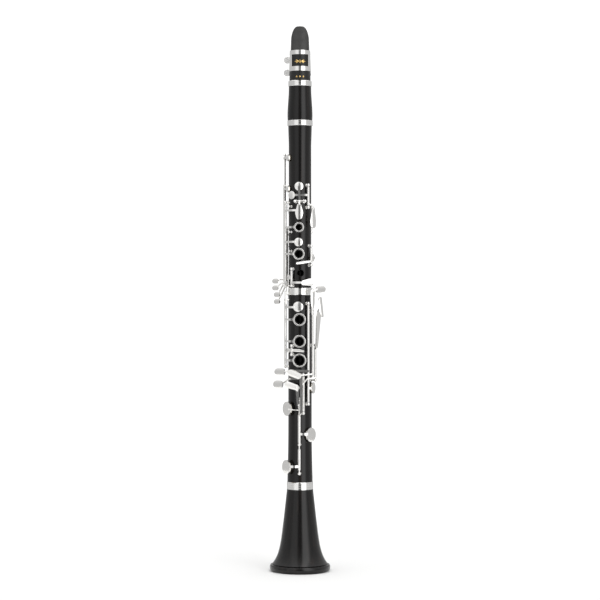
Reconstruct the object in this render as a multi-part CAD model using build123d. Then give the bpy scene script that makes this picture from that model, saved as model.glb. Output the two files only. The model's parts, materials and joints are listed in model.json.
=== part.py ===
from build123d import *
import math
import os

# B-flat clarinet, standing on its bell.  Millimetres, +Z up the bore, front of the player's view at -Y.
# phi is an angle round the bore: 0 at the front, positive towards +X.

# --- driving dimensions: lengths along the bore ------------------------------------------------
BELL_TOP = 109.0
LOWER_TOP = 346.1
UPPER_BASE = 346.3
UPPER_TOP = 544.3
BARREL_BASE = 544.4
BARREL_TOP = 599.3
TIP = 668.0
TENON = 17.0

# --- driving dimensions: radii -------------------------------------------------------------------
BORE = 7.35
UPPER_R = 13.85
LOWER_R = 14.4
TENON_R = 11.0
SOCKET_R = 11.05
BELL_TENON_R = 12.3
CORK = 0.9
PIN_R = 0.8
CORE_R = 1.0
PLAY = 0.05
TUBE_R = 1.5
BALL_R = 1.9
CUP_TOP = 3.35
CUP_DROP = 1.1

# --- driving dimensions: the turned outlines -------------------------------------------------------
THROAT_Z = 98.0
THROAT_R = 16.2
BELL_TAPER = 0.11
BELL_FLARE = 18.0
FLARE_DECAY = 11.0
LIP_Z = 9.0
FOOT_Z = 114.5
FOOT_START = 181.0
FOOT_SWELL = 1.05
BULGE_R = 15.4
BULGE_Z = 557.0
WAIST_R = 13.8
WAIST_Z = 591.0
TIP_SHOULDER = 652.0
TIP_HALF = 10.9

# --- a solid standing on its own plane, centred across it
UPRIGHT = (Align.CENTER, Align.CENTER, Align.MIN)

# --- keywork axes: (phi, distance from the bore axis) ----------------------------------------------
STACK = (-77, 18.4)
SIDE_1 = (-109, 19.5)
SIDE_2 = (-97, 19.5)
SIDE_3 = (-124, 19.0)
SIDE_4 = (-139, 18.5)
THUMB = (130, 18.0)
G_SHARP = (35, 17.8)
C_SHARP = (-36, 17.6)
E_FLAT = (50, 17.8)
SLIVER = (-34, 18.4)
A_FLAT = (33.7, 18.4)
F_NAT = (13.6, 17.8)
CENTRE = (-2.6, 18.4)
LEVER_F = (51, 20.0)
LEVER_E = (64, 21.0)


def spot(phi, r, z):
    """A point at angle phi and distance r from the bore, at height z."""
    a = math.radians(phi)
    return Vector(r * math.sin(a), -r * math.cos(a), z)


def facing(phi, r, z):
    """A plane at that point looking outwards, its local y pointing up the bore."""
    a = math.radians(phi)
    return Plane(origin=spot(phi, r, z), x_dir=(math.cos(a), math.sin(a), 0), z_dir=spot(phi, 1, 0))


def turned(*points):
    """A solid of revolution round the bore from (radius, height) points."""
    return revolve(Plane.XZ * make_face(Polyline(*points, close=True)), Axis.Z, 360)


def sleeve(r_out, r_in, z0, z1, grooves=()):
    """A ferrule with softened ends and fine turned grooves."""
    ring = turned((r_in, z0), (r_out - 0.35, z0), (r_out, z0 + 0.35), (r_out, z1 - 0.35),
                  (r_out - 0.35, z1), (r_in, z1))
    for z in grooves:
        ring -= turned((r_out - 0.25, z), (r_out + 0.5, z - 0.5), (r_out + 0.5, z + 0.5))
    return ring


def bar(p, q, r):
    """A round bar between two points."""
    p, q = Vector(*p), Vector(*q)
    return Plane(origin=p, z_dir=q - p) * Cylinder(r, (q - p).length, align=UPRIGHT)


def link(points, r):
    """Round bars through several points with ball corners."""
    shape = Pos(*points[0]) * Sphere(r)
    for p, q in zip(points, points[1:]):
        shape += bar(p, q, r) + Pos(*q) * Sphere(r)
    return shape


def pin(axis, z0, z1, r=PIN_R):
    return bar(spot(*axis, z0), spot(*axis, z1), r)


def strap(axis, middle, end, z, height=2.4, thick=1.5):
    """A flat arm bent round the body through three (phi, r) places."""
    points = [spot(*place, 0) for place in (axis, middle, end)]
    return Pos(0, 0, z - height / 2) * extrude(SlotArc(ThreePointArc(*points), thick), height)


def plate(phi, r, thick, outline):
    """A flat piece whose outline is the hull of (u, z, radius) discs, seen from outside."""
    discs = [(Pos(u, z) * Circle(radius)).edges() for u, z, radius in outline]
    return facing(phi, r, 0) * extrude(make_hull([edge for disc in discs for edge in disc]), thick)


def touch(phi, r, thick, outline, drop=1.0):
    """A finger touch: a plate crowned across its length, its long edges lower by drop."""
    discs = [(Pos(u, z) * Circle(radius)).edges() for u, z, radius in outline]
    body = extrude(make_hull([edge for disc in discs for edge in disc]), thick)
    (u0, z0, _), (u1, z1, _) = outline[0], outline[-1]
    half = max(radius for _, _, radius in outline)
    crown = half * half / (2 * drop) + drop / 2
    along = Plane(origin=((u0 + u1) / 2, (z0 + z1) / 2, thick - crown), z_dir=(u1 - u0, z1 - z0, 0))
    return facing(phi, r, 0) * (body & along * Cylinder(crown, 90))


def cup(phi, r, z, d):
    """A domed pad cup with its pocket; r is where the pad's face lies."""
    a = d / 2
    pocket = [(0, 2.2), (a - 0.55, 2.2), (a - 0.55, 0.9), (a, 0.9)]
    dome = [(a * t, CUP_TOP - CUP_DROP * t * t) for t in (1, 0.75, 0.5, 0.25, 0)]
    profile = make_face(Polyline(*pocket, *dome, close=True))
    return facing(phi, r, z) * revolve(Plane.XZ * profile, Axis.Z, 360)


def pad(phi, r, z, d):
    """The pad that fills a cup."""
    body = Cylinder(d / 2 - 0.55, 2.2, align=UPRIGHT)
    return facing(phi, r, z) * fillet(body.edges().group_by(Axis.Z)[0], 0.35)


def ring(phi, r, z, outer, inner):
    """A finger ring, softened on its outer face, with a neck that narrows towards its arm."""
    r_out = outer / 2
    body = Cylinder(r_out, 1.3, align=UPRIGHT) - Cylinder(inner / 2, 10)
    body = fillet(body.edges().group_by(Axis.Z)[-1], 0.6)
    wide = Pos(-0.72 * r_out, 0) * Circle(0.42 * r_out)
    narrow = Pos(-r_out - 2.4, 0) * Circle(0.9)
    neck = extrude(make_hull(wide.edges() + narrow.edges()), 1.1) - Cylinder(inner / 2, 10)
    return facing(phi, r, z) * (body + neck)


def hole(phi, z, d):
    """The drilling of one tone hole, from the bore out through the wall."""
    return bar(spot(phi, BORE - 2, z), spot(phi, 24, z), d / 2)


def seat(phi, z, d, r):
    """The raised wall round a tone hole, its rim at r."""
    body = Cylinder(d / 2 + 0.9, 7, align=(Align.CENTER, Align.CENTER, Align.MAX))
    body = chamfer(body.edges().group_by(Axis.Z)[-1], 0.3)
    return facing(phi, r, z) * body


# --- tone holes: (phi, z, drilling, rim of the wall) -------------------------------------------------
UPPER_HOLES = [(-4.5, 469.8, 4.5, 14.45), (-38, 459.2, 4.5, 14.45), (-66, 505, 4.5, 14.45),
               (-68, 467, 4.5, 14.45), (-4.5, 439, 4.5, 14.45), (-4, 420, 6, 16.0), (-6, 401.8, 6, 14.45),
               (-5, 387.5, 7.6, 16.0), (2, 364.2, 7.4, 15.3), (-58, 359, 3.6, 14.45), (82, 383, 4.5, 14.45),
               (-166, 412, 4, 14.45), (-165, 378, 4.5, 14.45), (160, 421, 4.5, 14.45), (180, 437, 6, 16.0)]
LOWER_HOLES = [(-7, 323.2, 7, 15.1), (-2, 307.6, 8.6, 16.2), (-2, 281.1, 8.6, 16.2), (-2, 257.9, 10, 16.2),
               (-57, 270, 3.6, 15.0), (72, 224, 8, 15.4), (-55, 198.8, 11, 15.6), (50, 167.1, 11, 15.6),
               (-57, 127.6, 11.5, 16.3)]

# --- posts: the ball's place (phi, r, z) -----------------------------------------------------------------
UPPER_POSTS = [(*STACK, 450.6), (*STACK, 348.9),
               (*SIDE_1, 509.2), (*SIDE_1, 349.4), (*SIDE_2, 471.4), (*SIDE_2, 349.4),
               (*SIDE_3, 418.4), (*SIDE_3, 349.4), (*SIDE_4, 386.4), (*SIDE_4, 349.4),
               (*THUMB, 445.4), (*THUMB, 414.6), (*G_SHARP, 471.2), (*G_SHARP, 444.2),
               (*C_SHARP, 369.2), (*C_SHARP, 348.9), (*E_FLAT, 397.4), (*E_FLAT, 374.0)]
LOWER_POSTS = [(*STACK, 331.6), (*STACK, 250.2), (*SLIVER, 265.0), (*SLIVER, 275.8),
               (*A_FLAT, 327.2), (*A_FLAT, 204.8), (*F_NAT, 240.4), (*F_NAT, 193.6),
               (*CENTRE, 210.4), (*CENTRE, 155.4), (*CENTRE, 120.2),
               (*LEVER_F, 318.2), (*LEVER_F, 237.8), (*LEVER_E, 276.2), (*LEVER_E, 233.6)]
A_HINGE = (-17.6, 451.5)
REGISTER_HINGE = (17.6, 468.0)


def foot_at(z):
    """How far from the bore the wood's surface lies at height z, where pillars stand."""
    return UPPER_R if z > UPPER_BASE else 15.2 if z < 140 else 14.55 if z < 170 else LOWER_R


def shank(centre):
    """The buried and standing part of a pillar: foot plate and stem."""
    out = Vector(centre.X, centre.Y, 0).normalized()
    root = Vector(0, 0, centre.Z) + out * (foot_at(centre.Z) - 2.5)
    return bar(root, root + out * 3.1, 2.1) + bar(root, centre, 1.05)


def cross_posts(y, z):
    """The pair of balls that carry a hinge lying across the body."""
    return [Vector(-6.2, y, z), Vector(6.2, y, z)]


def stations(first, last, count):
    """Evenly spaced values from first to last."""
    return [first + (last - first) * k / count for k in range(count + 1)]


def bell_radius(z):
    """A straight taper that opens exponentially towards the rim."""
    return THROAT_R + BELL_TAPER * (THROAT_Z - z) + BELL_FLARE * math.exp(-z / FLARE_DECAY)


def foot_radius(z):
    """The lower joint swells as a parabola towards the bell."""
    return LOWER_R + FOOT_SWELL * ((FOOT_START - z) / (FOOT_START - FOOT_Z)) ** 2


def barrel_radius(z):
    """Half a cosine wave from the bulge to the waist."""
    turn = math.pi * (z - BULGE_Z) / (WAIST_Z - BULGE_Z)
    return WAIST_R + (BULGE_R - WAIST_R) * (1 + math.cos(turn)) / 2


def tip_half_width(z):
    """Half the beak's width near its rounded tip."""
    return TIP_HALF * (1 - ((z - TIP_SHOULDER) / (TIP - TIP_SHOULDER)) ** 1.3) ** 0.3


def outline_upper():
    return turned((0, 329.1), (TENON_R, 329.1), (TENON_R, UPPER_BASE), (UPPER_R, UPPER_BASE), (UPPER_R, 521),
                  (14.45, 540), (14.45, UPPER_TOP), (TENON_R, UPPER_TOP),
                  (TENON_R, UPPER_TOP + TENON), (0, UPPER_TOP + TENON))


def outline_lower():
    foot = [(foot_radius(z), z) for z in stations(FOOT_Z, FOOT_START, 8)]
    return turned((0, 92), (BELL_TENON_R, 92), (BELL_TENON_R, BELL_TOP), (15.5, BELL_TOP), *foot,
                  (LOWER_R, 334), (14.7, 337.6), (13.6, 337.6), (13.6, LOWER_TOP), (0, LOWER_TOP))


def groove(r, z0, z1):
    """The seat turned in a tenon for its cork."""
    return turned((r - CORK, z0), (r + 1, z0), (r + 1, z1), (r - CORK, z1))


def posts_upper():
    return [spot(*place) for place in UPPER_POSTS] + cross_posts(*A_HINGE) + cross_posts(*REGISTER_HINGE)


def posts_lower():
    return [spot(*place) for place in LOWER_POSTS]


def make_upper():
    body = outline_upper()
    body += [seat(phi, z, d, rim) for phi, z, d, rim in UPPER_HOLES]
    body -= Pos(0, 0, 300) * Cylinder(BORE, 300, align=UPRIGHT)
    body -= [hole(phi, z, d) for phi, z, d, rim in UPPER_HOLES] + [hole(180, 492, 5.0)]
    body -= groove(TENON_R, 331.5, 343.6)
    body -= groove(TENON_R, 547.0, 558.6)
    return body - [shank(place) for place in posts_upper()]


def make_lower():
    body = outline_lower()
    body += [seat(phi, z, d, rim) for phi, z, d, rim in LOWER_HOLES]
    body -= turned((0, 91), (10.9, 91), (9.6, 112), (8.4, 140), (BORE, 190), (BORE, 328.8), (SOCKET_R, 328.8),
                   (SOCKET_R, 350), (0, 350))
    body -= [hole(phi, z, d) for phi, z, d, rim in LOWER_HOLES]
    body -= groove(BELL_TENON_R, 94.5, 106.4)
    return body - [shank(place) for place in posts_lower()]


def make_pins():
    """Every fixed hinge pin, from post to post; the centre key turns on its own rod."""
    pins = []
    by_axis = {}
    for phi, r, z in UPPER_POSTS + LOWER_POSTS:
        by_axis.setdefault((phi, r, z > UPPER_BASE), []).append(z)
    for (phi, r, _), heights in by_axis.items():
        if (phi, r) != CENTRE:
            pins.append(pin((phi, r), min(heights) - 1.5, max(heights) + 1.5))
    for y, z in (A_HINGE, REGISTER_HINGE):
        pins.append(bar((-7.7, y, z), (7.7, y, z), PIN_R))
    return pins


SPRINGS = [(*STACK, 450.6, -9), (*STACK, 348.9, 9), (*G_SHARP, 471.2, -8), (*THUMB, 445.4, -8),
           (*C_SHARP, 369.2, -7), (*E_FLAT, 397.4, -8), (*STACK, 331.6, -9), (*STACK, 250.2, 9),
           (*A_FLAT, 204.8, 10), (*F_NAT, 240.4, -9), (*LEVER_F, 318.2, -10), (*LEVER_E, 276.2, -9)]


def make_springs():
    """Needle springs, each driven through the neck of a pillar."""
    return [bar(spot(phi, r - 2.7, z - math.copysign(1.4, run)), spot(phi, r - 2.7, z + run), 0.28)
            for phi, r, z, run in SPRINGS]


def make_posts(pins, springs):
    """All the ball-headed pillars, bored for the pins and the needle springs."""
    pillars = []
    for place in posts_upper() + posts_lower():
        pillar = shank(place) + Pos(*place) * Sphere(BALL_R)
        near = [thing for thing in pins + springs
                if thing.bounding_box().min.Z - 1 < place.Z < thing.bounding_box().max.Z + 1
                and (Vector(thing.center().X, thing.center().Y, place.Z) - place).length < 7]
        pillar -= near
        if abs(place.X - spot(*CENTRE, 0).X) < 0.01 and abs(place.Y - spot(*CENTRE, 0).Y) < 0.01:
            pillar -= pin(CENTRE, 100, 230, CORE_R + PLAY)
        pillars.append(pillar)
    return pillars


def make_bell():
    flare = [(bell_radius(z), z) for z in stations(THROAT_Z, 32, 8) + stations(30, LIP_Z, 10)]
    lip = [(33.7, 8.3), (36.0, 8.0), (36.9, 6.4), (37.1, 4.6), (36.8, 2.2), (35.8, 0.6), (34.6, 0)]
    outer = [(15.2, BELL_TOP), (15.2, 99.7), (THROAT_R, 99.7), *flare, *lip]
    inner = [(33.2, 0), (32.4, 0.8), (31.6, 3), (28.6, 9), (25.4, 16), (22.4, 25), (19.6, 38), (17.0, 55),
             (14.6, 72), (12.4, 86), (11.4, 91.6), (BELL_TENON_R + PLAY, 91.6),
             (BELL_TENON_R + PLAY, BELL_TOP)]
    return turned(*outer, *inner)


def make_barrel():
    bulge = [(barrel_radius(z), z) for z in stations(BULGE_Z, WAIST_Z, 12)]
    return turned((SOCKET_R, BARREL_BASE), (13.9, BARREL_BASE), (13.9, 550.9), (15.2, 550.9), *bulge,
                  (WAIST_R, 592.9), (12.9, 592.9), (12.9, BARREL_TOP), (SOCKET_R, BARREL_TOP),
                  (SOCKET_R, 582), (7.5, 582), (7.5, 561.8), (SOCKET_R, 561.8))


TABLE_Y = 8.9
REED_BACK = 11.6
BEAK_CROWN = 26.0
WINDOW = [(10, 632), (-2, 632), (-2, 646), (5.6, 660.5), (7.6, 663.5), (10, 663.5)]
TIP_OUTLINE = [(tip_half_width(z), z) for z in stations(TIP_SHOULDER, 664, 6) + stations(665, TIP, 8)]


def front_outline(margin=0.0, top=0.0):
    """The mouthpiece's outline seen from the front, as a deep prism."""
    half = [(14, 560), (14, 640)] + [(x - margin, z - top) for x, z in TIP_OUTLINE]
    points = [(-x, z) for x, z in half[:-1]] + [(x, z) for x, z in reversed(half)]
    return extrude(Plane.XZ * make_face(Polyline(*points, close=True)), 20, both=True)


def make_mouthpiece():
    body = turned((0, 582.4), (TENON_R, 582.4), (TENON_R, BARREL_TOP), (12.9, BARREL_TOP), (12.95, 603),
                  (12.6, 610), (11.35, 640), (10.95, 650), (10.9, 670), (0, 670))
    slope = Plane(origin=(0, -11.4, 634.5), x_dir=(1, 0, 0), z_dir=(0, -33.6, 19.3))
    body &= slope * Pos(0, 0, -BEAK_CROWN) * Rot(90, 0, 0) * Cylinder(BEAK_CROWN, 200)
    body -= Pos(0, TABLE_Y, 601) * Box(40, 20, 80, align=(Align.CENTER, Align.MIN, Align.MIN))
    body &= front_outline()
    body -= turned((0, 580), (7.4, 580), (7.4, 612), (4.6, 640), (0, 640))
    body -= extrude(Plane.YZ * make_face(Polyline(*WINDOW, close=True)), 5.2, both=True)
    body -= groove(TENON_R, 585.0, 596.6)
    return body


def make_reed():
    stock = Pos(0, 0, 601.5) * Cylinder(REED_BACK, 66, align=UPRIGHT)
    stock &= Pos(0, TABLE_Y, 601.5) * Box(12.8, 5, 66, align=(Align.CENTER, Align.MIN, Align.MIN))
    cut = Plane(origin=(0, TABLE_Y + 0.35, 667.5), x_dir=(1, 0, 0), z_dir=(0, 30, 2.15))
    stock -= cut * Box(20, 66, 8, align=UPRIGHT)
    return stock & front_outline(0.4, 0.5)


SCREW_Y = 15.8
SCREW_Z = (627.2, 611.6)
SCREW_TURN = 28.0


def make_ligature():
    band = turned((13.0, 606.4), (13.7, 606.4), (13.55, 609.6), (13.4, 609.9), (12.7, 631.2), (12.85, 631.5),
                  (12.65, 636.3), (11.75, 636.3))
    band -= Pos(0, 0, 616.6) * Box(19.8, 40, 14.5, align=(Align.CENTER, Align.MAX, Align.MIN))
    band -= Pos(0, 3, 600) * Box(40, 40, 11, align=(Align.CENTER, Align.MAX, Align.MIN))
    band -= Pos(0, 8, 600) * Box(4.4, 20, 40, align=(Align.CENTER, Align.MIN, Align.MIN))
    for z in SCREW_Z:
        for x in (-4.3, 4.3):
            lug = Pos(x, 12.0, z) * Box(3.2, 5.6, 6.4, align=(Align.CENTER, Align.MIN, Align.CENTER))
            band += fillet(lug.edges().filter_by(Axis.X).group_by(Axis.Y)[-1], 1.6)
    band -= turned((0, 590), (13.05, 590), (13.0, 606.4), (11.75, 636.3), (0, 640))
    for z in SCREW_Z:
        band -= bar((-9, SCREW_Y, z), (9, SCREW_Y, z), 1.25 + PLAY)
    return band


def make_screw(z):
    """A thumb screw lying across the lugs, with a flat rounded head."""
    shank = bar((-11.5, SCREW_Y, z), (6.8, SCREW_Y, z), 1.25)
    collar = bar((-9.4, SCREW_Y, z), (-7.4, SCREW_Y, z), 2.3)
    head = Pos(-15.6, SCREW_Y, z) * Rot(90 + SCREW_TURN, 0, 0) * Cylinder(4.5, 1.7)
    head = fillet(head.edges(), 0.5)
    return shank + collar + head + bar((-12.5, SCREW_Y, z), (-9, SCREW_Y, z), 1.7)


def make_thumb_plate():
    plate_ = Pos(0, 13.0, 268) * Box(13, 3.2, 34, align=(Align.CENTER, Align.MIN, Align.CENTER))
    plate_ = fillet(plate_.edges().filter_by(Axis.Y), 3.0)
    plate_ -= Pos(0, 0, 240) * Cylinder(LOWER_R, 60, align=UPRIGHT)
    rails = [Pos(x, 16.2, 268) * Box(1.4, 1.9, 26, align=(Align.CENTER, Align.MIN, Align.CENTER))
             for x in (-5.2, 5.2)]
    screws = [Pos(0, 16.2, z) * Rot(-90, 0, 0) * Cylinder(1.9, 0.9, align=UPRIGHT)
              for z in (254.4, 281.6)]
    return plate_ + rails + screws


def make_thumb_rest():
    slider = Pos(0, 16.25, 268) * Box(8.8, 1.9, 12, align=(Align.CENTER, Align.MIN, Align.CENTER))
    hook = extrude(Plane.YZ * make_face(Polyline((16.25, 262.2), (18.4, 262.2), (24, 263.6), (30.2, 267.2),
                                                 (30.6, 269.2), (29.4, 270), (24, 266.6), (19.6, 266.2),
                                                 (18.15, 273.8), (16.25, 273.8), close=True)), 4.4, both=True)
    stud = Pos(0, 18.1, 270.6) * Rot(-90, 0, 0) * Cylinder(2.3, 3.2, align=UPRIGHT)
    return slider + hook + stud


# --- keys ------------------------------------------------------------------------------------------------
OPEN_UP = 15.85      # where the face of an open upper pad stands
SHUT_UP = 14.55      # where the face of a closed upper pad rests


def hinged(axis, z0, z1, parts, pads=(), r=TUBE_R, bore=PIN_R + PLAY):
    """A key on a vertical hinge tube: the tube, everything brazed to it, bored for its pin."""
    body = pin(axis, z0, z1, r)
    body = body + parts - list(pads)
    return body - pin(axis, z0 - 8, z1 + 8, bore) if bore else body


def crossed(hinge, parts, pads=()):
    """A key on a hinge lying across the body."""
    y, z = hinge
    body = bar((-4.0, y, z), (4.0, y, z), TUBE_R)
    return body + parts - list(pads) - bar((-9, y, z), (9, y, z), PIN_R + PLAY)


def a_key():
    seal = pad(-4.5, SHUT_UP, 469.8, 10.5)
    metal = crossed(A_HINGE, [
        cup(-4.5, SHUT_UP, 469.8, 10.5),
        plate(-2, 17.2, 1.4, [(-0.6, 468.5, 1.5), (0.3, 452, 1.2)]),
        link([(-0.7, -18.2, 451.5), (-0.9, -21.9, 447.4)], 1.25),
        touch(-2.5, 21.2, 1.5, [(-0.1, 446.2, 2.4), (-0.1, 437, 4.8), (-0.1, 432.6, 3.6)])], [seal])
    return metal, seal


def g_sharp_key():
    seal = pad(-38, SHUT_UP, 459.2, 10)
    metal = hinged(G_SHARP, 446.5, 468.9, [
        cup(-38, SHUT_UP, 459.2, 10),
        strap(G_SHARP, (0, 15.3), (-31, 16.8), 459.2, 2.6, 1.2),
        link([(10.3, -14.8, 447.9), (14.6, -15.2, 446.4), (16.0, -13.9, 442.5)], 1.2),
        touch(38, 19.8, 1.5, [(4.3, 442.4, 2.1), (4.6, 427.5, 4.4), (4.6, 423, 4.1)])], [seal])
    return metal, seal


def first_ring_key():
    seal = pad(-4.5, OPEN_UP, 439, 9)
    metal = hinged(STACK, 412.4, 448.3, [
        ring(-4, 17.5, 420, 12.2, 8.5),
        strap(STACK, (-50, 18.9), (-21.5, 18.9), 420),
        cup(-4.5, OPEN_UP, 439, 9),
        strap(STACK, (-48, 19.0), (-15, 18.6), 440.5)], [seal])
    return metal, seal


def bridge_key():
    seal = pad(-6, OPEN_UP, 401.8, 10.4)
    metal = hinged(STACK, 351.2, 412.1, [
        ring(-5, 17.5, 387.5, 14.3, 10.7),
        strap(STACK, (-52, 19.0), (-25, 19.3), 387.5),
        cup(-6, OPEN_UP, 401.8, 10.4),
        strap(STACK, (-48, 19.0), (-19, 18.8), 402.2),
        strap(STACK, (-70, 18.2), (-64, 17.7), 353, 2.4, 1.3),
        plate(-64, 17.0, 1.3, [(0, 352.9, 1.3), (0, 338.4, 1.3)])], [seal])
    return metal, seal


def thumb_key():
    seal = pad(160, OPEN_UP, 421, 8)
    metal = hinged(THUMB, 416.9, 443.1, [
        ring(180, 17.5, 437, 13, 9.4),
        strap(THUMB, (146, 19.0), (162.5, 19.1), 437),
        cup(160, OPEN_UP, 421, 8),
        strap(THUMB, (142, 19.2), (153, 18.8), 421)], [seal])
    return metal, seal


def c_sharp_key():
    seal = pad(-58, SHUT_UP, 359, 7)
    metal = hinged(C_SHARP, 351.1, 367.0, [
        cup(-58, SHUT_UP, 359, 7),
        strap(C_SHARP, (-46, 18.4), (-56, 17.9), 359, 2.4, 1.3),
        strap(C_SHARP, (-12, 19.5), (9, 21.0), 352.6, 2.6),
        touch(25, 19.6, 1.5, [(-5.0, 352.2, 3.0), (4.5, 353.1, 4.5)])], [seal])
    return metal, seal


def e_flat_key():
    seal = pad(82, SHUT_UP, 383, 9.4)
    metal = hinged(E_FLAT, 376.2, 395.2, [
        cup(82, SHUT_UP, 383, 9.4),
        strap(E_FLAT, (66, 19.0), (78, 18.0), 383, 2.4, 1.3),
        link([(13.5, -12.0, 378.4), (12.3, -16.8, 378.4)], 1.15),
        touch(8, 17.9, 1.3, [(9.6, 378.3, 1.3), (0, 376.9, 1.6), (-6.2, 376.0, 1.3)], 0.5)], [seal])
    return metal, seal


def side_key(axis, z_top, pad_phi, z_pad, bend, path, reach, z_touch):
    """One of the four keys worked by the side of the right forefinger."""
    seal = pad(pad_phi, SHUT_UP, z_pad, 8.4)
    step = math.copysign(3, axis[0] - pad_phi)
    metal = hinged(axis, 351.6, z_top, [
        cup(pad_phi, SHUT_UP, z_pad, 8.4),
        strap(axis, bend, (pad_phi + step, 17.65), z_pad, 2.4, 1.3),
        link(path, 1.05),
        touch(-45, 16.3, 1.5, [(reach + 3.5, z_touch, 3.3), (reach, z_touch, 3.3)])], [seal], r=1.35)
    return metal, seal


def register_key():
    seal = pad(180, SHUT_UP, 492, 7.6)
    metal = crossed(REGISTER_HINGE, [
        cup(180, SHUT_UP, 492, 7.6),
        plate(180, 17.2, 1.4, [(0, 490.5, 1.4), (0, 468, 1.7)]),
        link([(0, 18.0, 467.4), (0, 20.3, 462.4)], 1.3),
        touch(180, 19.7, 1.5, [(0, 462.6, 2.3), (0, 453.0, 4.3)])], [seal])
    return metal, seal


LOW_RING = 17.7


def ring_key():
    seal = pad(-7, 16.4, 323.2, 12.3)
    parts = [ring(-2, LOW_RING, 307.6, 15.5, 11.8), ring(-2, LOW_RING, 281.1, 15.5, 11.8),
             ring(-2, LOW_RING, 257.9, 16.6, 13.2),
             strap(STACK, (-52, 19.4), (-24, 19.7), 307.6), strap(STACK, (-52, 19.4), (-24, 19.7), 281.1),
             strap(STACK, (-52, 19.5), (-25.5, 19.9), 257.9),
             cup(-7, 16.4, 323.2, 12.3),
             strap(STACK, (-50, 19.9), (-22, 19.6), 322.6),
             strap(STACK, (-70, 19.2), (-64, 19.6), 326.4, 2.4, 1.3),
             plate(-64, 19.0, 1.3, [(0, 326.4, 1.3), (0, 341.6, 1.3)])]
    return hinged(STACK, 252.4, 329.3, parts, [seal]), seal


def sliver_key():
    seal = pad(-57, 15.1, 270, 6.4)
    metal = hinged(SLIVER, 267.2, 273.6, [
        cup(-57, 15.1, 270, 6.4),
        strap(SLIVER, (-45, 19.0), (-55, 18.4), 270, 2.2, 1.3),
        link([(-10.3, -15.8, 270.5), (-9.4, -18.3, 270.5)], 1.1),
        touch(-8, 18.1, 1.3, [(-6.8, 270.4, 1.5), (2, 269.8, 1.6), (6.8, 269.2, 1.2)], 0.5)], [seal], r=1.4)
    return metal, seal


def a_flat_key():
    seal = pad(72, 15.5, 224, 14)
    metal = hinged(A_FLAT, 207.0, 325.0, [
        cup(72, 15.5, 224, 14),
        strap(A_FLAT, (52, 20.2), (66, 19.3), 224),
        plate(0, 16.4, 1.4, [(9.6, 245, 1.6), (-14, 245, 1.6)]),
        link([(-14, -17.1, 245), (-18.5, -16.0, 244.6), (-21, -14.5, 244)], 1.15),
        touch(-35, 24.0, 1.6, [(-15.8, 243.8, 4.6), (-9.4, 243.8, 4.6)], 1.1)], [seal])
    return metal, seal


def f_key():
    seal = pad(-55, 17.6, 198.8, 17.5)
    metal = hinged(F_NAT, 195.8, 238.2, [
        cup(-55, 17.6, 198.8, 17.5),
        link([(4.0, -17.0, 197.4), (-0.5, -15.9, 197.4), (-4.2, -16.4, 197.5), (-9.3, -19.6, 198.0),
              (-14.2, -16.0, 198.4)], 0.85),
        plate(0, 16.2, 1.4, [(4.0, 236.2, 1.5), (-12.5, 235.6, 1.6)]),
        link([(-12.5, -16.9, 235.6), (-16.5, -13.4, 233), (-23.4, -13.6, 229.2)], 1.2),
        touch(-35, 25.0, 1.6, [(-16.6, 228.5, 5.0), (-12.2, 228.5, 5.0)], 1.1)], [seal])
    return metal, seal


def f_sharp_key():
    seal = pad(50, 15.75, 167.1, 17.5)
    metal = hinged(CENTRE, 157.6, 192.0, [
        cup(50, 15.75, 167.1, 17.5),
        strap(CENTRE, (18, 20.5), (42, 19.9), 168.4, 3.0),
        touch(-15, 22.6, 1.6, [(-5.4, 242.9, 4.1), (4.0, 239.4, 3.8)], 1.1),
        plate(0, 22.6, 1.4, [(0.9, 239, 1.6), (1.8, 226, 1.2), (1.7, 193.6, 1.2)]),
        link([(1.6, -23.0, 193.4), (-0.8, -19.4, 190.4)], 1.15),
        link([(1.0, -23.6, 240.0), (8.0, -22.8, 240.6)], 1.0)], [seal], r=1.8, bore=CORE_R + 0.06)
    return metal, seal


def e_key():
    seal = pad(-57, 18.3, 127.6, 17.5)
    metal = hinged(CENTRE, 118.5, 212.0, [
        pin(CENTRE, 199.5, 207.6, 1.8), pin(CENTRE, 124.6, 150.0, 1.8),
        cup(-57, 18.3, 127.6, 17.5),
        strap(CENTRE, (-24, 22.2), (-46, 22.3), 129, 3.0),
        plate(0, 20.8, 1.4, [(-3.4, 222, 1.9), (-2.2, 203.5, 1.5)]),
        link([(-1.6, -21.2, 203.5), (-0.9, -18.8, 203.5)], 1.4),
        link([(-3.4, -21.4, 221.5), (-4.0, -23.4, 225)], 1.3),
        touch(-15, 22.6, 1.6, [(-9.3, 228.4, 4.0), (1.4, 225.4, 3.4)], 1.1),
        link([(-3.0, -21.3, 222.5), (2.2, -20.9, 228), (8.4, -20.9, 235.2)], 0.8)], [seal], r=CORE_R, bore=0)
    return metal, seal


def lever_f():
    return hinged(LEVER_F, 240.0, 316.0, [
        link([(15.4, -13.2, 241.6), (14.4, -18.4, 241.2), (7.6, -20.3, 240.6)], 0.9),
        link([(15.5, -13.4, 314.5), (15.1, -17.9, 314.5), (14.9, -17.9, 322.4)], 1.3),
        touch(35, 22.2, 1.5, [(2.6, 322, 1.5), (3.0, 328, 2.9), (3.0, 341.4, 3.2)], 0.9),
        link([(14.9, -18.2, 341.5), (20.6, -15.2, 344.2)], 1.3),
        touch(35, 23.4, 1.6, [(10.6, 344.0, 4.0), (17.0, 344.6, 4.0)], 1.0)], r=1.4)


def lever_e():
    return hinged(LEVER_E, 235.8, 273.9, [
        link([(18.9, -9.8, 237.4), (19.2, -15.2, 236.9), (9.2, -18.7, 235.6)], 0.9),
        link([(18.9, -9.8, 272.2), (20.4, -13.8, 273.6)], 1.2),
        plate(40, 23.0, 1.5, [(6.6, 274.0, 1.5), (8.8, 311, 3.0), (11.2, 318, 2.6)]),
        touch(40, 24.0, 1.5, [(14.9, 312, 1.6), (11.4, 324, 3.6), (11.6, 333, 2.2)], 1.0)], r=1.4)


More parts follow.
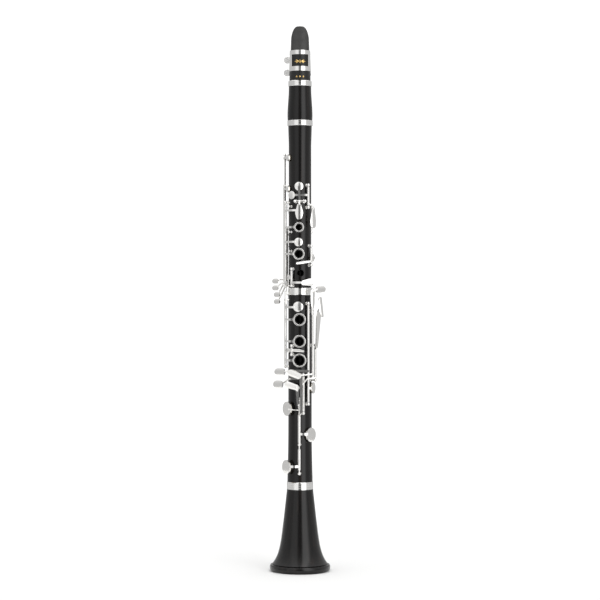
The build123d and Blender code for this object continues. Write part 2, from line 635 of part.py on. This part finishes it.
def write(name, shape):
    parts = shape if isinstance(shape, list) else [shape]
    solids = [solid for part in parts for solid in part.solids()]
    whole = solids[0] if len(solids) == 1 else Compound(children=solids)
    whole.label = name
    export_step(whole, os.path.join("parts", name + ".step"))


def main():
    os.makedirs("parts", exist_ok=True)
    pins, springs = make_pins(), make_springs()
    write("bell", make_bell())
    write("bell_ring", sleeve(16.25, 15.2, 99.7, BELL_TOP, (102.2, 104.4, 106.6)))
    write("lower_joint_body", make_lower())
    write("middle_ring", sleeve(15.3, 13.6, 337.6, LOWER_TOP, (340.0, 341.9, 343.8)))
    write("upper_joint_body", make_upper())
    write("tenon_corks", [
        sleeve(BELL_TENON_R, BELL_TENON_R - CORK, 94.5, 106.4), sleeve(TENON_R, TENON_R - CORK, 331.5, 343.6),
        sleeve(TENON_R, TENON_R - CORK, 547.0, 558.6)])
    write("barrel", make_barrel())
    write("barrel_rings", [sleeve(15.6, 13.9, BARREL_BASE, 550.9, (546.4, 548.9)),
                           sleeve(14.4, 12.9, 592.9, BARREL_TOP, (595.1, 597.3))])
    write("mouthpiece", make_mouthpiece())
    write("mouthpiece_cork", sleeve(TENON_R, TENON_R - CORK, 585.0, 596.6))
    write("reed", make_reed())
    write("ligature", make_ligature())
    write("ligature_screw_upper", make_screw(SCREW_Z[0]))
    write("ligature_screw_lower", make_screw(SCREW_Z[1]))
    write("hinge_pins", pins)
    write("needle_springs", springs)
    write("posts", make_posts(pins, springs))
    vent = bar((0, 6.2, 492), (0, 14.45, 492), 2.5) - bar((0, 5, 492), (0, 15, 492), 1.5)
    write("register_tube", vent)
    write("thumb_rest_plate", make_thumb_plate())
    write("thumb_rest", make_thumb_rest())
    keys = {
        "a_key": a_key(), "g_sharp_key": g_sharp_key(), "first_ring_key": first_ring_key(),
        "bridge_key": bridge_key(), "thumb_key": thumb_key(), "c_sharp_key": c_sharp_key(),
        "e_flat_key": e_flat_key(), "register_key": register_key(),
        "side_key_1": side_key(SIDE_1, 507.0, -66, 505, (-88, 19.6),
                               [(-18.6, 6.2, 356.5), (-24.5, 6.0, 356.5), (-28.6, 5.6, 354.8)], -27.5, 354.6),
        "side_key_2": side_key(SIDE_2, 469.2, -68, 467, (-84, 19.4),
                               [(-19.6, 2.0, 353.2), (-23.5, 3.2, 351.5), (-28.4, 5.4, 347.0)], -27.5, 346.2),
        "side_key_3": side_key(SIDE_3, 416.2, -166, 412, (-145, 19.3),
                               [(-15.7, 10.6, 353.8), (-20.5, 11.5, 351), (-25.5, 9.0, 341),
                                (-27.4, 4.6, 338)], -24.6, 338),
        "side_key_4": side_key(SIDE_4, 384.2, -165, 378, (-152, 19.2),
                               [(-12.1, 14.0, 354), (-16.5, 16.5, 351.5), (-23, 13.5, 338), (-27.2, 8, 330.5),
                                (-27.4, 4.6, 329.4)], -24.6, 329.4),
        "ring_key": ring_key(), "sliver_key": sliver_key(), "a_flat_key": a_flat_key(), "f_key": f_key(),
        "f_sharp_key": f_sharp_key(), "e_key": e_key()}
    for name, (metal, seal) in keys.items():
        write(name, metal)
        write(name.replace("_key", "_pad"), seal)
    write("left_f_sharp_lever", lever_f())
    write("left_e_lever", lever_e())


main()
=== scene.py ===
import json
import math
import bmesh
import bpy
from mathutils import Matrix, Vector


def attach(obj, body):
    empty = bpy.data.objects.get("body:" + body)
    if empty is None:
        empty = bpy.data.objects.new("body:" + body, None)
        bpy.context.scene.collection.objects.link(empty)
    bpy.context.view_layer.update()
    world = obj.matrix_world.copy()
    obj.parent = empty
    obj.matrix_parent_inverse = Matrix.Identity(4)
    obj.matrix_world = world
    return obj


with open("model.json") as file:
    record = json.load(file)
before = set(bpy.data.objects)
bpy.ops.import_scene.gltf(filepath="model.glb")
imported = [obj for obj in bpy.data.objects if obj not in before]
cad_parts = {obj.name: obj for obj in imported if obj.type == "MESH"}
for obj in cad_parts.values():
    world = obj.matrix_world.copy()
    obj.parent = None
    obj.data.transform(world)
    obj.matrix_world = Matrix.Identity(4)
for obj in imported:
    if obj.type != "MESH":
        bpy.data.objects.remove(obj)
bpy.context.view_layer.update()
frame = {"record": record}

MM = 0.001

# the camera, in metres: its height, its distance and the width that it sees there; the sensor in mm
EYE_HEIGHT = 0.3314
EYE_DISTANCE = 2.3
VIEW_WIDTH = 0.735
SENSOR = 36

# strengths of the light: all round, from straight above, and what the camera sees as white
ROOM_LIGHT = 2.2
CEILING = 0.65
SEEN_WHITE = 1.15
FLOOR_REACH = 0.5

# the room, seen from the instrument: even walls, a soft box each side of the lens, a dim gap behind it;
# brightness, and the edges in degrees round from the lens
WALL = 0.25
GAP = 0.06
LEFT_BOX = 0.4
RIGHT_BOX = 0.9
GAP_EDGE = 10
BOX_INNER = 18
BOX_OUTER = 45
WALL_START = 60
ROOM_LEVELS = [(-180, WALL), (-WALL_START, WALL), (-BOX_OUTER, LEFT_BOX), (-BOX_INNER, LEFT_BOX),
               (-GAP_EDGE, GAP), (GAP_EDGE, GAP), (BOX_INNER, RIGHT_BOX), (BOX_OUTER, RIGHT_BOX),
               (WALL_START, WALL), (180, WALL)]


# --- materials ---------------------------------------------------------------------------------------
def set_stops(ramp, stops):
    """Give a ramp node its stops, each a position with a colour or a grey level."""
    elements = ramp.color_ramp.elements
    while len(elements) < len(stops):
        elements.new(0.5)
    for element, (position, colour) in zip(elements, stops):
        element.position = position
        element.color = (*colour, 1) if isinstance(colour, tuple) else (colour, colour, colour, 1)


class Shader:
    """A principled material with short helpers for its procedural nodes."""

    def __init__(self, name, colour, roughness, metallic=0.0, **extra):
        self.material = bpy.data.materials.new(name)
        self.material.use_nodes = True
        self.tree = self.material.node_tree
        self.surface = self.tree.nodes["Principled BSDF"]
        self.surface.inputs["Base Color"].default_value = (*colour, 1)
        self.surface.inputs["Roughness"].default_value = roughness
        self.surface.inputs["Metallic"].default_value = metallic
        for socket, value in extra.items():
            self.surface.inputs[socket.replace("_", " ")].default_value = value
        self.place = self.node("ShaderNodeTexCoord").outputs["Object"]

    def node(self, kind, **settings):
        node = self.tree.nodes.new(kind)
        for key, value in settings.items():
            setattr(node, key, value)
        return node

    def link(self, a, b):
        self.tree.links.new(a, b)

    def stretched(self, scale, turn=(0, 0, 0)):
        """Object coordinates scaled unevenly, for grain and polishing marks."""
        mapping = self.node("ShaderNodeMapping")
        mapping.inputs["Scale"].default_value = scale
        mapping.inputs["Rotation"].default_value = turn
        self.link(self.place, mapping.inputs["Vector"])
        return mapping.outputs["Vector"]

    def noise(self, scale, detail=4, rough=0.55, vector=None, distortion=0.0):
        noise = self.node("ShaderNodeTexNoise")
        noise.inputs["Scale"].default_value = scale
        noise.inputs["Detail"].default_value = detail
        noise.inputs["Roughness"].default_value = rough
        noise.inputs["Distortion"].default_value = distortion
        self.link(vector or self.place, noise.inputs["Vector"])
        return noise.outputs["Fac"]

    def ramp(self, factor, *stops):
        ramp = self.node("ShaderNodeValToRGB")
        set_stops(ramp, stops)
        self.link(factor, ramp.inputs["Fac"])
        return ramp.outputs["Color"]

    def bump(self, height, strength, distance, normal=None):
        bump = self.node("ShaderNodeBump")
        bump.inputs["Strength"].default_value = strength
        bump.inputs["Distance"].default_value = distance
        self.link(height, bump.inputs["Height"])
        if normal:
            self.link(normal, bump.inputs["Normal"])
        return bump.outputs["Normal"]

    def set(self, socket, output):
        self.link(output, self.surface.inputs[socket])


def blackwood():
    """Oiled grenadilla: nearly black, long fine pores along the bore and a soft polish."""
    s = Shader("blackwood", (0.006, 0.005, 0.005), 0.20, Specular_IOR_Level=0.40)
    pores = s.noise(1.0, 5, 0.62, s.stretched((900, 900, 28)))
    streaks = s.noise(1.0, 3, 0.5, s.stretched((230, 230, 7)), 0.4)
    s.set("Base Color", s.ramp(streaks, (0.30, (0.0025, 0.0022, 0.0022)), (0.55, (0.005, 0.0042, 0.004)),
                               (0.78, (0.014, 0.009, 0.007))))
    s.set("Roughness", s.ramp(pores, (0.25, 0.27), (0.55, 0.17), (0.8, 0.13)))
    s.set("Normal", s.bump(pores, 0.07, 0.0001, s.bump(streaks, 0.04, 0.0003)))
    return s.material


def ebonite():
    """Satin hard rubber, rubbed smoother on the beak."""
    s = Shader("ebonite", (0.012, 0.012, 0.011), 0.32, Specular_IOR_Level=0.40)
    fine = s.noise(2600, 2)
    wear = s.noise(95, 4)
    s.set("Base Color", s.ramp(wear, (0.3, (0.008, 0.008, 0.0075)), (0.75, (0.017, 0.0165, 0.015))))
    s.set("Roughness", s.ramp(wear, (0.3, 0.42), (0.7, 0.27)))
    s.set("Normal", s.bump(fine, 0.10, 0.00006))
    return s.material


def silver(name, colour, roughness, tarnish, brush=0.10):
    """Polished plating with hairline marks, finger haze and a little tarnish."""
    s = Shader(name, colour, roughness, 1.0)
    haze = s.noise(160, 4, 0.6)
    spots = s.noise(620, 5, 0.7)
    lines = s.noise(1.0, 3, 0.6, s.stretched((2600, 2600, 140), (0.5, 0.25, 0)))
    s.set("Base Color", s.ramp(spots, (0.22, tarnish), (0.42, colour), (1.0, colour)))
    s.set("Roughness", s.ramp(haze, (0.25, max(roughness - 0.04, 0.02)), (0.8, roughness + 0.07)))
    s.set("Normal", s.bump(lines, brush, 0.00003, s.bump(s.noise(70, 2), 0.05, 0.0003)))
    return s.material


def steel():
    """Blued spring and pin steel."""
    s = Shader("pin_steel", (0.42, 0.42, 0.44), 0.28, 1.0)
    marks = s.noise(1.0, 3, 0.6, s.stretched((3000, 3000, 90)))
    s.set("Roughness", s.ramp(marks, (0.3, 0.18), (0.8, 0.40)))
    s.set("Base Color", s.ramp(s.noise(300, 3), (0.3, (0.26, 0.27, 0.31)), (0.7, (0.52, 0.52, 0.53))))
    s.set("Normal", s.bump(marks, 0.12, 0.00003))
    return s.material


def cane():
    """Reed cane: straw yellow with fibres running up to the tip."""
    s = Shader("reed_cane", (0.72, 0.56, 0.28), 0.48, Specular_IOR_Level=0.4)
    fibres = s.noise(1.0, 4, 0.6, s.stretched((2400, 2400, 30)))
    blotch = s.noise(120, 3)
    mix = s.node("ShaderNodeMix", data_type="RGBA", blend_type="MULTIPLY")
    mix.inputs["Factor"].default_value = 0.5
    straw = s.ramp(fibres, (0.3, (0.55, 0.38, 0.16)), (0.6, (0.78, 0.62, 0.33)), (0.85, (0.88, 0.75, 0.47)))
    s.link(straw, mix.inputs[6])
    s.link(s.ramp(blotch, (0.35, (0.80, 0.72, 0.60)), (0.7, (1, 1, 1))), mix.inputs[7])
    s.set("Base Color", mix.outputs[2])
    s.set("Roughness", s.ramp(fibres, (0.3, 0.62), (0.8, 0.38)))
    s.set("Normal", s.bump(fibres, 0.25, 0.00008))
    return s.material


def cork():
    """Tenon cork: tan granules with dark pits."""
    s = Shader("tenon_cork", (0.55, 0.36, 0.20), 0.82)
    cells = s.node("ShaderNodeTexVoronoi")
    cells.inputs["Scale"].default_value = 900
    s.link(s.place, cells.inputs["Vector"])
    pits = s.noise(420, 5, 0.7)
    s.set("Base Color", s.ramp(pits, (0.30, (0.16, 0.08, 0.04)), (0.42, (0.47, 0.29, 0.15)),
                               (0.8, (0.70, 0.50, 0.30))))
    s.set("Normal", s.bump(pits, 0.5, 0.0002, s.bump(cells.outputs["Distance"], 0.3, 0.0002)))
    return s.material


def pad_skin():
    """Cream pad skin over felt, faintly wrinkled."""
    s = Shader("pad_skin", (0.80, 0.72, 0.55), 0.55, Sheen_Weight=0.15)
    wrinkles = s.noise(520, 5, 0.65, None, 0.6)
    s.set("Base Color", s.ramp(wrinkles, (0.25, (0.66, 0.55, 0.38)), (0.7, (0.86, 0.79, 0.63))))
    s.set("Normal", s.bump(wrinkles, 0.22, 0.0001))
    return s.material


def gilding():
    """Thin gold ornament let into the mouthpiece."""
    s = Shader("gilding", (0.86, 0.58, 0.20), 0.26, 1.0)
    worn = s.noise(1500, 4, 0.7)
    s.set("Base Color", s.ramp(worn, (0.30, (0.40, 0.25, 0.08)), (0.55, (0.88, 0.62, 0.24))))
    s.set("Roughness", s.ramp(worn, (0.3, 0.5), (0.8, 0.2)))
    return s.material


def studio_floor():
    """Matt off-white board."""
    s = Shader("studio_floor", (0.90, 0.90, 0.89), 0.8, Specular_IOR_Level=0.15)
    s.set("Base Color", s.ramp(s.noise(3, 2), (0.3, (0.89, 0.89, 0.885)), (0.8, (0.91, 0.91, 0.905))))
    return s.material


MATERIALS = {
    "blackwood": blackwood(), "ebonite": ebonite(), "cane": cane(), "cork": cork(), "pad_skin": pad_skin(),
    "steel": steel(), "gilding": gilding(),
    "key_silver": silver("key_silver", (0.94, 0.93, 0.91), 0.16, (0.70, 0.64, 0.52)),
    "ring_silver": silver("ring_silver", (0.93, 0.925, 0.91), 0.035, (0.70, 0.66, 0.58), 0.03),
    "ligature_silver": silver("ligature_silver", (0.89, 0.88, 0.865), 0.16, (0.62, 0.58, 0.50), 0.2),
    "satin_silver": silver("satin_silver", (0.95, 0.945, 0.935), 0.42, (0.86, 0.84, 0.80), 0.2)}
SATIN_NODES = ("ligature_screw_upper", "ligature_screw_lower")
BEVELLED_SLOTS = ("key_silver", "ligature_silver")
BEVEL = 0.22
BEVEL_ANGLE = 50


def dress_cad_nodes():
    """Give every carried-over node its material, and soften the machined edges of those in key or ligature
    silver.
    """
    slots = {part["node"]: part["material_slot"] for part in frame["record"]["subparts"]}
    for name, slot in slots.items():
        node = bpy.data.objects[name]
        node.data.materials.clear()
        node.data.materials.append(MATERIALS["satin_silver" if name in SATIN_NODES else slot])
        if slot in BEVELLED_SLOTS:
            bevel = node.modifiers.new("edges", "BEVEL")
            bevel.width = BEVEL * MM
            bevel.segments = 2
            bevel.limit_method = "ANGLE"
            bevel.angle_limit = math.radians(BEVEL_ANGLE)


# --- small parts ---------------------------------------------------------------------------------------
def spot(phi, r, z):
    """A point at angle phi and distance r from the bore, at height z, all in millimetres."""
    a = math.radians(phi)
    return Vector((r * math.sin(a), -r * math.cos(a), z)) * MM


def facing(phi, r, z):
    """A frame standing on that point: x round the body, y up the bore, z outwards."""
    a = math.radians(phi)
    turn = Matrix(((math.cos(a), 0, math.sin(a)), (math.sin(a), 0, -math.cos(a)), (0, 1, 0))).to_4x4()
    return Matrix.Translation(spot(phi, r, z)) @ turn


def pointing(place, direction):
    """A frame at place whose z looks along direction."""
    return Matrix.Translation(place) @ Vector(direction).to_track_quat("Z", "Y").to_matrix().to_4x4()


def piece(name, build, material, body):
    """One mesh object from a bmesh, dressed, shaded smooth and riding on its body."""
    bmesh.ops.recalc_face_normals(build, faces=build.faces)
    mesh = bpy.data.meshes.new(name)
    build.to_mesh(mesh)
    build.free()
    for face in mesh.polygons:
        face.use_smooth = True
    thing = bpy.data.objects.new(name, mesh)
    thing.data.materials.append(MATERIALS[material])
    bpy.context.collection.objects.link(thing)
    thing.modifiers.new("smooth edges", "WEIGHTED_NORMAL")
    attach(thing, body)


def lathe(build, axes, profile, steps=20):
    """Turn (radius, height) points round the frame's z into the bmesh, closed at both ends."""
    turns = [math.tau * k / steps for k in range(steps)]
    loops = [[build.verts.new(axes @ (Vector((r * math.cos(a), r * math.sin(a), h)) * MM)) for a in turns]
             for r, h in profile]
    for low, high in zip(loops, loops[1:]):
        for k in range(steps):
            build.faces.new((low[k], low[(k + 1) % steps], high[(k + 1) % steps], high[k]))
    build.faces.new(loops[0][::-1])
    build.faces.new(loops[-1])


def slotted_head(build, axes, r=0.95, height=0.32, slot=0.17, sides=28):
    """A screw head: a low crowned disc in two halves either side of its slot."""
    for side in (-1, 1):
        edge = math.asin(slot / r)
        arc = [edge + (math.pi - 2 * edge) * k / sides for k in range(sides + 1)]
        outline = [Vector((r * math.cos(a), side * r * math.sin(a))) for a in arc]
        middle = Vector((0, side * 0.42 * r))
        rings = [[build.verts.new(axes @ (Vector((p.x, p.y, h)) * MM)) for p in
                  [middle + (q - middle) * shrink for q in outline]]
                 for h, shrink in ((-0.3, 1), (height * 0.6, 1), (height, 0.86))]
        for low, high in zip(rings, rings[1:]):
            for k in range(len(outline)):
                n = (k + 1) % len(outline)
                build.faces.new((low[k], low[n], high[n], high[k]))
        build.faces.new(rings[-1])
        build.faces.new(rings[0][::-1])


# hinge axes and the heights of the balls at each end, as in the CAD, in mm: (phi, r, low, high)
HINGE_ENDS = [(-77, 18.4, 348.9, 450.6), (-109, 19.5, 349.4, 509.2), (-97, 19.5, 349.4, 471.4),
              (-124, 19.0, 349.4, 418.4), (-139, 18.5, 349.4, 386.4), (130, 18.0, 414.6, 445.4),
              (35, 17.8, 444.2, 471.2), (-36, 17.6, 348.9, 369.2), (50, 17.8, 374.0, 397.4),
              (-77, 18.4, 250.2, 331.6), (-34, 18.4, 265.0, 275.8), (33.7, 18.4, 204.8, 327.2),
              (13.6, 17.8, 193.6, 240.4), (51, 20.0, 237.8, 318.2), (64, 21.0, 233.6, 276.2)]
# the two hinges that lie across the body: (y, z), and half the distance between their balls
CROSS_ENDS = [(-17.6, 451.5), (17.6, 468.0)]
CROSS_HALF = 6.2
# the balls' radius, and how deep the screws sit in them
BALL = 1.9
SUNK = 0.22


def hinge_screws():
    """The slotted ends of the hinge rods, flush in the balls, each slot stopped at another angle."""
    build = bmesh.new()
    for phi, r, low, high in HINGE_ENDS:
        turn = Matrix.Rotation(math.radians(phi * 3.7), 4, "Z")
        slotted_head(build, pointing(spot(phi, r, high + BALL - SUNK), (0, 0, 1)) @ turn)
        slotted_head(build, pointing(spot(phi, r, low - BALL + SUNK), (0, 0, -1)) @ turn)
    for y, z in CROSS_ENDS:
        for side in (-1, 1):
            place = Vector((side * (CROSS_HALF + BALL - SUNK), y, z)) * MM
            slotted_head(build, pointing(place, (side, 0, 0)) @ Matrix.Rotation(0.6, 4, "Z"))
    piece("hinge_rod_screws", build, "steel", "instrument")


# the pillars beside the upper stack: their turned outline (radius, height), (phi, r) of their feet and of
# their springs' two ends, and for each pillar its height and how far along the bore its spring runs
PILLAR = [(1.5, 0), (1.5, 0.75), (0.95, 1.0), (0.75, 1.7), (0.8, 2.1),
          (1.15, 2.5), (1.32, 3.1), (1.2, 3.7), (0.8, 4.15), (0.35, 4.3)]
PILLAR_FOOT = (-48.5, 13.5)
SPRING_ROOT = (-50, 15.4)
SPRING_TIP = (-66, 16.0)
STACK_SPRINGS = [(445.5, -9), (414.4, 7), (391.0, 7.5)]


def spring_pillars():
    """Short pillars beside the upper stack that hold its springs."""
    build = bmesh.new()
    for z, _ in STACK_SPRINGS:
        lathe(build, facing(*PILLAR_FOOT, z), PILLAR)
    piece("spring_pillars", build, "key_silver", "instrument")
    wires = bmesh.new()
    for z, run in STACK_SPRINGS:
        a, b = spot(*SPRING_ROOT, z), spot(*SPRING_TIP, z + run)
        length = (b - a).length / MM
        lathe(wires, pointing(a, b - a), [(0.24, 0), (0.22, length * 0.6), (0.12, length)], 8)
    piece("stack_springs", wires, "steel", "instrument")


# cork bumpers under the touches: (body, phi, distance of the touch's inner face, u, z)
BUMPERS = [("a_flat_key", -35, 24.0, -13.0, 243.8), ("f_key", -35, 25.0, -14.4, 228.5),
           ("f_sharp_key", -15, 22.6, -2.0, 241.6), ("e_key", -15, 22.6, -4.0, 227.0),
           ("a_key", -2.5, 21.2, -0.1, 436.5), ("g_sharp_key", 38, 19.8, 4.5, 426.0),
           ("register_key", 180, 19.7, 0, 453.2)]


def bumpers():
    """A cork disc under each of those touches, facing inwards."""
    for body, phi, r, u, z in BUMPERS:
        build = bmesh.new()
        axes = facing(phi, r, z) @ Matrix.Translation((u * MM, 0, 0)) @ Matrix.Rotation(math.pi, 4, "X")
        lathe(build, axes, [(1.5, -0.05), (1.55, 0.1), (1.55, 0.75), (1.3, 0.98), (0.5, 1.05)])
        piece(body.replace("_key", "_bumper"), build, "cork", body)


# --- ornament ------------------------------------------------------------------------------------------
# the mouthpiece's outside above the barrel, as in the CAD: (height, radius) of its two straight tapers
TAPERS = [(603, 12.95), (610, 12.6), (640, 11.35)]


def mouthpiece_radius(z):
    """The mouthpiece's radius at height z."""
    (z0, r0), (z1, r1) = TAPERS[:2] if z < TAPERS[1][0] else TAPERS[1:]
    return r0 + (r1 - r0) * (z - z0) / (z1 - z0)


def on_mouthpiece(u, z, proud):
    """A point on the mouthpiece, u millimetres round from the front and a little proud of it."""
    r = mouthpiece_radius(z) + proud
    a = u / r
    return Vector((r * math.sin(a), -r * math.cos(a), z)) * MM


def leaf(build, u, z, lean, length, width, steps=10):
    """A thin pointed leaf with a raised midrib, wrapped on the mouthpiece."""
    c, d = math.cos(lean), math.sin(lean)

    def at(along, across, proud):
        return build.verts.new(on_mouthpiece(u + along * c - across * d, z + along * d + across * c, proud))

    stations = [length * k / steps for k in range(steps + 1)]
    halves = [width / 2 * math.sin(math.pi * (k / steps) ** 0.8) + 0.03 for k in range(steps + 1)]
    rows = [[at(t, -h, -0.05), at(t, -h * 0.92, 0.05), at(t, 0, 0.10), at(t, h * 0.92, 0.05), at(t, h, -0.05)]
            for t, h in zip(stations, halves)]
    for low, high in zip(rows, rows[1:]):
        for k in range(4):
            build.faces.new((low[k], low[k + 1], high[k + 1], high[k]))
        build.faces.new((low[4], low[0], high[0], high[4]))
    build.faces.new(rows[0][::-1])
    build.faces.new(rows[-1])


def ornament():
    """A gilt palmette between the ligature bands, and a row of lozenges under them."""
    build = bmesh.new()
    for heading in (0, math.pi):
        for lean, length in ((0, 6.4), (0.45, 4.6), (-0.45, 4.6)):
            leaf(build, 1.3 * math.cos(heading), 622.4, heading + lean, length, 1.3)
    leaf(build, 0, 620.1, math.pi / 2, 4.6, 1.6)
    for k in (-1, 0, 1):
        leaf(build, 4.2 * k, 602.6, math.pi / 2, 2.4, 2.2, 6)
    piece("mouthpiece_ornament", build, "gilding", "headpiece")


# --- studio -----------------------------------------------------------------------------------------
def studio():
    """A plain pale floor in the white room."""
    floor = bpy.data.meshes.new("floor")
    corners = [(x * FLOOR_REACH, y * FLOOR_REACH, 0) for x, y in ((-1, -1), (1, -1), (1, 1), (-1, 1))]
    floor.from_pydata(corners, [], [(0, 1, 2, 3)])
    plane = bpy.data.objects.new("floor", floor)
    plane.data.materials.append(studio_floor())
    bpy.context.collection.objects.link(plane)
    room()


def room():
    """Soft light all round, brighter from two boxes and from above; the camera itself sees plain white."""
    world = bpy.data.worlds.new("room")
    bpy.context.scene.world = world
    world.use_nodes = True
    nodes, links = world.node_tree.nodes, world.node_tree.links

    def value(operation, *inputs):
        node = nodes.new("ShaderNodeMath")
        node.operation = operation
        for socket, source in zip(node.inputs, inputs):
            if isinstance(source, (int, float)):
                socket.default_value = source
            else:
                links.new(source, socket)
        return node.outputs[0]

    split = nodes.new("ShaderNodeSeparateXYZ")
    links.new(nodes.new("ShaderNodeTexCoord").outputs["Generated"], split.inputs[0])
    across, along, up = split.outputs
    turn = value("ARCTAN2", across, value("MULTIPLY", along, -1))
    ramp = nodes.new("ShaderNodeValToRGB")
    links.new(value("MULTIPLY_ADD", turn, 0.5 / math.pi, 0.5), ramp.inputs["Fac"])
    set_stops(ramp, [((degrees + 180) / 360, level) for degrees, level in ROOM_LEVELS])
    ceiling = value("MULTIPLY", value("POWER", value("MAXIMUM", up, 0), 2), CEILING)
    lit = value("MULTIPLY_ADD", ramp.outputs["Color"], ROOM_LIGHT, ceiling)
    seen = nodes.new("ShaderNodeLightPath").outputs["Is Camera Ray"]
    unseen = value("MULTIPLY", lit, value("SUBTRACT", 1, seen))
    strength = value("ADD", unseen, value("MULTIPLY", seen, SEEN_WHITE))
    links.new(strength, nodes["Background"].inputs["Strength"])
    nodes["Background"].inputs["Color"].default_value = (1, 1, 1, 1)


def soft_light(name, place, aim, size, power):
    """A rectangular lamp at place, turned towards aim."""
    data = bpy.data.lights.new(name, "AREA")
    data.shape = "RECTANGLE"
    data.size, data.size_y = size
    data.energy = power
    light = bpy.data.objects.new(name, data)
    light.location = place
    light.rotation_euler = (Vector(aim) - Vector(place)).to_track_quat("-Z", "Y").to_euler()
    bpy.context.collection.objects.link(light)


def camera():
    """The eye straight in front, near half the instrument's height; plain colours, with no film curve."""
    bpy.context.scene.view_settings.view_transform = "Standard"
    data = bpy.data.cameras.new("eye")
    data.sensor_width = SENSOR
    data.lens = SENSOR * EYE_DISTANCE / VIEW_WIDTH
    eye = bpy.data.objects.new("eye", data)
    eye.location = (0, -EYE_DISTANCE, EYE_HEIGHT)
    eye.rotation_euler = (math.radians(90), 0, 0)
    bpy.context.collection.objects.link(eye)
    bpy.context.scene.camera = eye


dress_cad_nodes()
hinge_screws()
spring_pillars()
bumpers()
ornament()
studio()
soft_light("overhead", place=(0, 0.4, 2.6), aim=(0, 0, 0.3), size=(2.4, 2.4), power=14)
camera()
